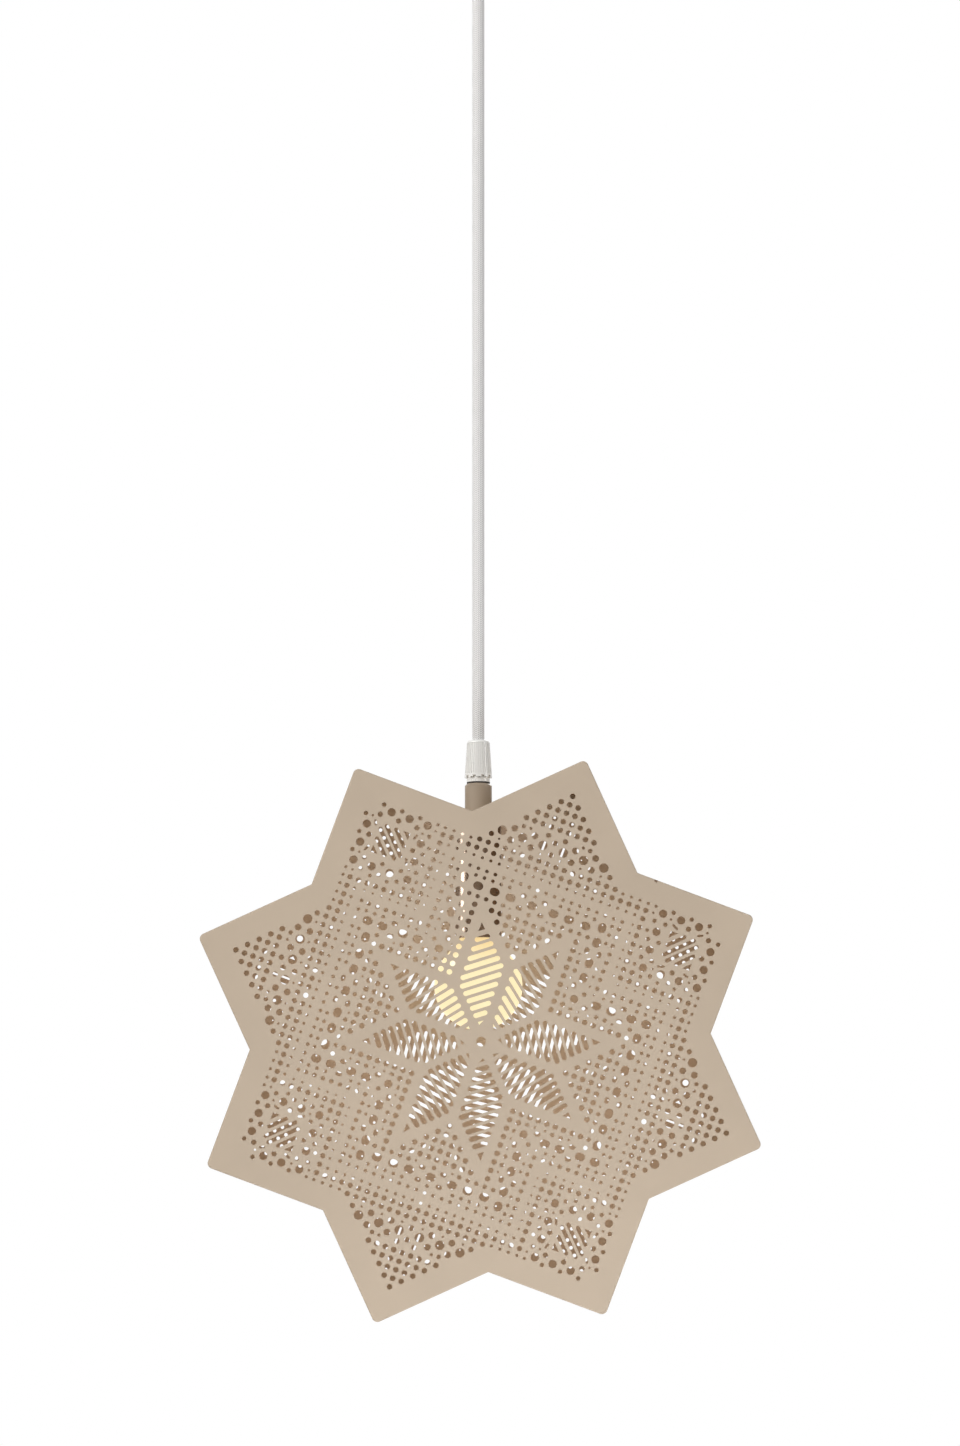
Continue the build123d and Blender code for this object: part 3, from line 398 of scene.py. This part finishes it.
@dataclass
class TextileCord:
    """The braided cord, straight under the lantern's weight, with its relief in the mesh."""

    yarn: BraidedYarn
    top_z: float = -16.0 * MM
    foot_z: float = -517.9 * MM
    diameter: float = 6.6 * MM
    sides: int = 32
    relief: float = 0.11 * MM
    lead: float = 40.0 * MM
    route: list[Point] = field(default_factory=list)

    def spline(self) -> list[Point]:
        """Lay the route as a smooth line.

        Returns:
            The line's points, read back from the curve.
        """
        self.route = [
            (0.0, 0.0, self.foot_z),
            (0.0, 0.0, self.foot_z + self.lead),
            (0.0, 0.0, self.top_z - self.lead),
            (0.0, 0.0, self.top_z),
        ]
        curve = bpy.data.curves.new("cord_route", "CURVE")
        curve.dimensions = "3D"
        curve.resolution_u = 24
        line = curve.splines.new("NURBS")
        line.points.add(len(self.route) - 1)
        for point, place in zip(line.points, self.route):
            point.co = (*place, 1.0)
        line.order_u = 3
        line.use_endpoint_u = True
        holder = bpy.data.objects.new("cord_route", curve)
        bpy.context.scene.collection.objects.link(holder)
        bpy.context.view_layer.update()
        mesh = bpy.data.meshes.new_from_object(holder)
        points = [tuple(vertex.co) for vertex in mesh.vertices]
        bpy.data.objects.remove(holder)
        bpy.data.meshes.remove(mesh)
        return points

    def build(self) -> None:
        path = self.spline()
        length = sum((Vector(b) - Vector(a)).length for a, b in zip(path, path[1:]))
        half_stitch = self.yarn.stitch / 2
        rings = round(length / half_stitch)
        shape = bmesh.new()
        bmesh.ops.create_circle(shape, segments=self.sides, radius=self.diameter / 2 - self.relief / 2)
        bmesh.ops.translate(shape, verts=shape.verts, vec=(0.0, 0.0, self.foot_z))
        edges = list(shape.edges)
        for _ in range(rings):
            made = bmesh.ops.extrude_edge_only(shape, edges=edges)["geom"]
            verts = [item for item in made if isinstance(item, bmesh.types.BMVert)]
            edges = [item for item in made if isinstance(item, bmesh.types.BMEdge)]
            bmesh.ops.translate(shape, verts=verts, vec=(0.0, 0.0, length / rings))
        bmesh.ops.holes_fill(shape, edges=[edge for edge in shape.edges if edge.is_boundary])
        bmesh.ops.recalc_face_normals(shape, faces=shape.faces)
        self.braid(shape, length / rings)
        self.unwrap(shape)
        mesh = bpy.data.meshes.new("braided_cord")
        shape.to_mesh(mesh)
        shape.free()
        for face in mesh.polygons:
            face.use_smooth = True
        mesh.materials.append(self.yarn.material())
        piece = bpy.data.objects.new("braided_cord", mesh)
        bpy.context.scene.collection.objects.link(piece)
        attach(piece, Body.FRAME.value)
        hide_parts("cord")
        log.info("braided_cord: %.4f m long", length)

    def braid(self, shape: bmesh.types.BMesh, step: float) -> None:
        """Raise every other point of the tube, so that strands cross over each other."""
        for vertex in shape.verts:
            ring = round((vertex.co.z - self.foot_z) / step)
            side = round(math.atan2(vertex.co.y, vertex.co.x) / (2 * math.pi) * self.sides)
            outward = Vector((vertex.co.x, vertex.co.y, 0.0)).normalized()
            if (ring + side) % 2:
                vertex.co += outward * (self.relief / 2)

    def unwrap(self, shape: bmesh.types.BMesh) -> None:
        """Give the tube a UV map: u once round the cord, v along it in metres."""
        layer = shape.loops.layers.uv.new("UVMap")
        for face in shape.faces:
            turns = [math.atan2(loop.vert.co.y, loop.vert.co.x) / (2 * math.pi) for loop in face.loops]
            wraps = max(turns) - min(turns) > 0.5
            for loop, turn in zip(face.loops, turns):
                around = turn + 1.0 if wraps and turn < 0.0 else turn
                loop[layer].uv = (around, loop.vert.co.z - self.foot_z)


@dataclass
class CordGrip:
    """Tube, washer and cord grip above the star."""

    plastic: Finish
    tube: Finish
    rubber: Finish
    zinc: Finish

    def build(self) -> None:
        """Dress the grip's pieces."""
        plastic = self.plastic.material()
        dress("grip_cone", plastic)
        dress("grip_base", plastic)
        dress("stem_tube", self.tube.material())
        dress("grip_washer", self.rubber.material())
        dress("threaded_nipple", self.zinc.material())


@dataclass
class Lampholder:
    """The painted sleeve and the holder inside it."""

    sleeve: Finish
    plastic: Finish
    brass: Finish
    zinc: Finish
    sleeving: Finish

    def build(self) -> None:
        """Dress sleeve, holder, contacts and cores."""
        dress("lampholder_sleeve", self.sleeve.material())
        plastic, brass, zinc = self.plastic.material(), self.brass.material(), self.zinc.material()
        for node in ("holder_cap", "holder_body", "contact_block"):
            dress(node, plastic)
        for node in ("terminal_screws", "earth_terminal", "centre_contact", "thread_shell"):
            dress(node, brass)
        for node in ("lock_washer", "stem_nut"):
            dress(node, zinc)
        dress("holder_cores", self.sleeving.material())


@dataclass
class Bulb:
    """The golf-ball bulb, lit, and the lamp that stands for its light."""

    glass: LitOpal
    palette: Palette
    centre: Point = (0.0, 0.0, -594.75 * MM)
    light_power: float = 0.012
    light_colour: Colour = (1.0, 0.62, 0.30)
    light_radius: float = 18.0 * MM

    def build(self) -> None:
        """Dress the bulb and light it."""
        dress("bulb_globe", self.glass.material())
        for node, finish in (
            ("bulb_cap", self.palette.cap),
            ("cap_insulator", self.palette.black_glass),
            ("cap_contact", self.palette.solder),
            ("filament_mount", self.palette.frit),
            ("led_filaments", self.palette.phosphor),
        ):
            dress(node, finish.material())
        for node in ("bulb_globe", "filament_mount", "led_filaments"):
            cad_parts[node].visible_shadow = False
        lamp = bpy.data.lights.new("bulb_light", "POINT")
        lamp.energy = self.light_power
        lamp.color = self.light_colour
        lamp.shadow_soft_size = self.light_radius
        holder = bpy.data.objects.new("bulb_light", lamp)
        holder.location = self.centre
        bpy.context.scene.collection.objects.link(holder)


@dataclass
class Canopy:
    """The ceiling cup, its grip and what it covers."""

    palette: Palette

    def build(self) -> None:
        """Dress the ceiling end."""
        zinc = self.palette.zinc.material()
        plastic = self.palette.white_plastic.material()
        dress("canopy_cup", self.palette.white_metal.material())
        for node in ("canopy_grip", "terminal_block"):
            dress(node, plastic)
        for node in ("canopy_grip_nut", "canopy_lock_screws", "ceiling_bracket", "canopy_screws"):
            dress(node, zinc)
        dress("block_screws", self.palette.brass.material())
        dress("ceiling_cores", self.palette.sleeving.material())


# ---- Studio ----


@dataclass(frozen=True)
class AreaLamp:
    """A soft light with a rectangular face that the camera doesn't see."""

    name: str
    place: Point
    size: float
    power: float
    colour: Colour = (1.0, 1.0, 1.0)
    target: Point = STAR_CENTRE
    height_ratio: float = 1.0
    mirrored: bool = True

    def build(self) -> None:
        """Hang the lamp and point it at its target."""
        light = bpy.data.lights.new(self.name, "AREA")
        light.shape = "RECTANGLE"
        light.size = self.size
        light.size_y = self.size * self.height_ratio
        light.energy = self.power
        light.color = self.colour
        holder = bpy.data.objects.new(self.name, light)
        holder.location = self.place
        aim = Vector(self.target) - Vector(self.place)
        holder.rotation_euler = aim.to_track_quat("-Z", "Y").to_euler()
        holder.visible_camera = False
        holder.visible_glossy = self.mirrored
        bpy.context.scene.collection.objects.link(holder)


@dataclass(frozen=True)
class View:
    """The photograph's camera, level, with its picture shifted up to take in the cord."""

    place: Point = (-16.0 * MM, -1570.5 * MM, -673.3 * MM)
    focal_pixels: float = 2882.0
    principal: tuple[float, float] = (449.0, 1130.0)
    picture: tuple[int, int] = (960, 1446)
    sensor: float = 36.0

    def build(self) -> None:
        """Make the camera and hand it to the scene."""
        width, height = self.picture
        data = bpy.data.cameras.new("camera")
        data.sensor_width = self.sensor
        data.lens = self.focal_pixels / height * self.sensor
        data.shift_x = (width / 2 - self.principal[0]) / height
        data.shift_y = (self.principal[1] - height / 2) / height
        data.clip_end = 100.0
        data.dof.use_dof = False
        camera = bpy.data.objects.new("camera", data)
        camera.location = self.place
        camera.rotation_euler = (math.radians(90.0), 0.0, 0.0)
        bpy.context.scene.collection.objects.link(camera)
        bpy.context.scene.camera = camera


@dataclass
class Studio:
    """White floor and backdrop, even light, soft lamps and daylight scattered inside the star."""

    ambient: float = 0.405
    floor_z: float = -1.75
    backdrop_y: float = 3.2
    half_width: float = 8.0
    floor_grey: float = 0.86
    inner_sides: tuple[tuple[str, float], ...] = (("left", -78.0 * MM), ("right", 80.0 * MM))
    inner_levels: tuple[tuple[str, float], ...] = (("upper", -565.0 * MM), ("lower", -700.0 * MM))
    inner_y: float = -44.5 * MM
    inner_size: float = 0.11
    inner_tint: Colour = (1.0, 0.83, 0.69)
    inner_power: dict[str, float] = field(
        default_factory=lambda: {
            "upper_left": 0.036,
            "upper_right": 0.031,
            "lower_left": 0.043,
            "lower_right": 0.047,
        }
    )
    lamps: tuple[AreaLamp, ...] = (
        AreaLamp("key_lamp", (-1.3, -1.7, 0.9), 0.9, 17.0, (1.0, 0.985, 0.96)),
        AreaLamp("upper_lamp", (-0.9, -0.5, 0.1), 0.4, 4.0, target=(0.0, 0.0, -0.42)),
        AreaLamp("side_lamp", (2.2, -0.6, -0.2), 0.8, 8.0, (0.97, 0.985, 1.0)),
        AreaLamp("rear_lamp", (0.6, 2.4, 0.8), 1.0, 12.0),
        AreaLamp("low_lamp", (0.16, -0.55, -1.15), 0.3, 2.6, (0.97, 0.98, 1.0)),
        AreaLamp(
            "sleeve_glint",
            (-0.042, -0.011, -0.536),
            0.014,
            0.022,
            (0.94, 0.97, 1.0),
            target=(0.0, -0.008, -0.536),
            height_ratio=4.0,
        ),
    )

    def inner_lamps(self) -> list[AreaLamp]:
        """Lamps behind the front plate that stand for the light scattered about inside the star.

        Returns:
            One lamp for each quarter of the star, facing the back plate.
        """
        return [
            AreaLamp(
                name=f"inner_{level}_{side}",
                place=(x, self.inner_y, z),
                size=self.inner_size,
                power=self.inner_power[f"{level}_{side}"],
                colour=self.inner_tint,
                target=(x, 0.0, z),
                mirrored=False,
            )
            for side, x in self.inner_sides
            for level, z in self.inner_levels
        ]

    def white_to_camera(self, tree: bpy.types.NodeTree) -> bpy.types.NodeSocket:
        """A factor that is one for rays from the camera, mirrors and glass."""
        path = tree.nodes.new("ShaderNodeLightPath")
        total = path.outputs["Is Camera Ray"]
        for name in ("Is Glossy Ray", "Is Transmission Ray"):
            step = tree.nodes.new("ShaderNodeMath")
            step.operation = "MAXIMUM"
            tree.links.new(total, step.inputs[0])
            tree.links.new(path.outputs[name], step.inputs[1])
            total = step.outputs["Value"]
        return total

    def sky(self) -> None:
        """Light the scene evenly, and show plain white behind the lantern."""
        world = bpy.data.worlds.new("studio")
        world.use_nodes = True
        bpy.context.scene.world = world
        tree = world.node_tree
        tree.nodes.clear()
        seen = tree.nodes.new("ShaderNodeBackground")
        seen.inputs["Strength"].default_value = 1.0
        light = tree.nodes.new("ShaderNodeBackground")
        light.inputs["Strength"].default_value = self.ambient
        for node in (seen, light):
            node.inputs["Color"].default_value = (1.0, 1.0, 1.0, 1.0)
        mix = tree.nodes.new("ShaderNodeMixShader")
        output = tree.nodes.new("ShaderNodeOutputWorld")
        tree.links.new(self.white_to_camera(tree), mix.inputs["Fac"])
        tree.links.new(light.outputs["Background"], mix.inputs[1])
        tree.links.new(seen.outputs["Background"], mix.inputs[2])
        tree.links.new(mix.outputs["Shader"], output.inputs["Surface"])

    def sweep(self) -> None:
        """Lay the floor and turn it up into a backdrop well behind the lantern."""
        shape = bmesh.new()
        bmesh.ops.create_grid(shape, x_segments=1, y_segments=1, size=self.half_width)
        rear = [vertex for vertex in shape.verts if vertex.co.y > 0.0]
        for vertex in rear:
            vertex.co.y = self.backdrop_y
        bmesh.ops.translate(shape, verts=shape.verts, vec=(0.0, 0.0, self.floor_z))
        rear_edges = [edge for edge in shape.edges if all(vertex in rear for vertex in edge.verts)]
        made = bmesh.ops.extrude_edge_only(shape, edges=rear_edges)["geom"]
        raised = [item for item in made if isinstance(item, bmesh.types.BMVert)]
        bmesh.ops.translate(shape, verts=raised, vec=(0.0, 0.0, self.half_width))
        mesh = bpy.data.meshes.new("studio_floor")
        shape.to_mesh(mesh)
        shape.free()
        material = bpy.data.materials.new("studio_white")
        material.use_nodes = True
        tree = material.node_tree
        tree.nodes.clear()
        matt = tree.nodes.new("ShaderNodeBsdfDiffuse")
        matt.inputs["Color"].default_value = (self.floor_grey, self.floor_grey, self.floor_grey, 1.0)
        seen = tree.nodes.new("ShaderNodeEmission")
        seen.inputs["Strength"].default_value = 1.0
        mix = tree.nodes.new("ShaderNodeMixShader")
        output = tree.nodes.new("ShaderNodeOutputMaterial")
        tree.links.new(self.white_to_camera(tree), mix.inputs["Fac"])
        tree.links.new(matt.outputs["BSDF"], mix.inputs[1])
        tree.links.new(seen.outputs["Emission"], mix.inputs[2])
        tree.links.new(mix.outputs["Shader"], output.inputs["Surface"])
        mesh.materials.append(material)
        floor = bpy.data.objects.new("studio_floor", mesh)
        bpy.context.scene.collection.objects.link(floor)

    def build(self) -> None:
        """Make sky, floor and all lamps."""
        bpy.context.scene.view_settings.view_transform = "Standard"
        self.sky()
        self.sweep()
        for lamp in (*self.lamps, *self.inner_lamps()):
            lamp.build()


def main() -> None:
    """Build everything in order."""
    logging.basicConfig(level=logging.INFO, format="%(name)s: %(message)s")
    palette = Palette()
    View().build()
    TextileCord(BraidedYarn()).build()
    StarShell(palette.plate, palette.band, palette.zinc).build()
    CordGrip(palette.white_plastic, palette.stem, palette.rubber, palette.zinc).build()
    Lampholder(palette.sleeve, palette.holder, palette.brass, palette.zinc, palette.sleeving).build()
    Bulb(LitOpal(), palette).build()
    Canopy(palette).build()
    Studio().build()


if __name__ == "__main__":
    main()
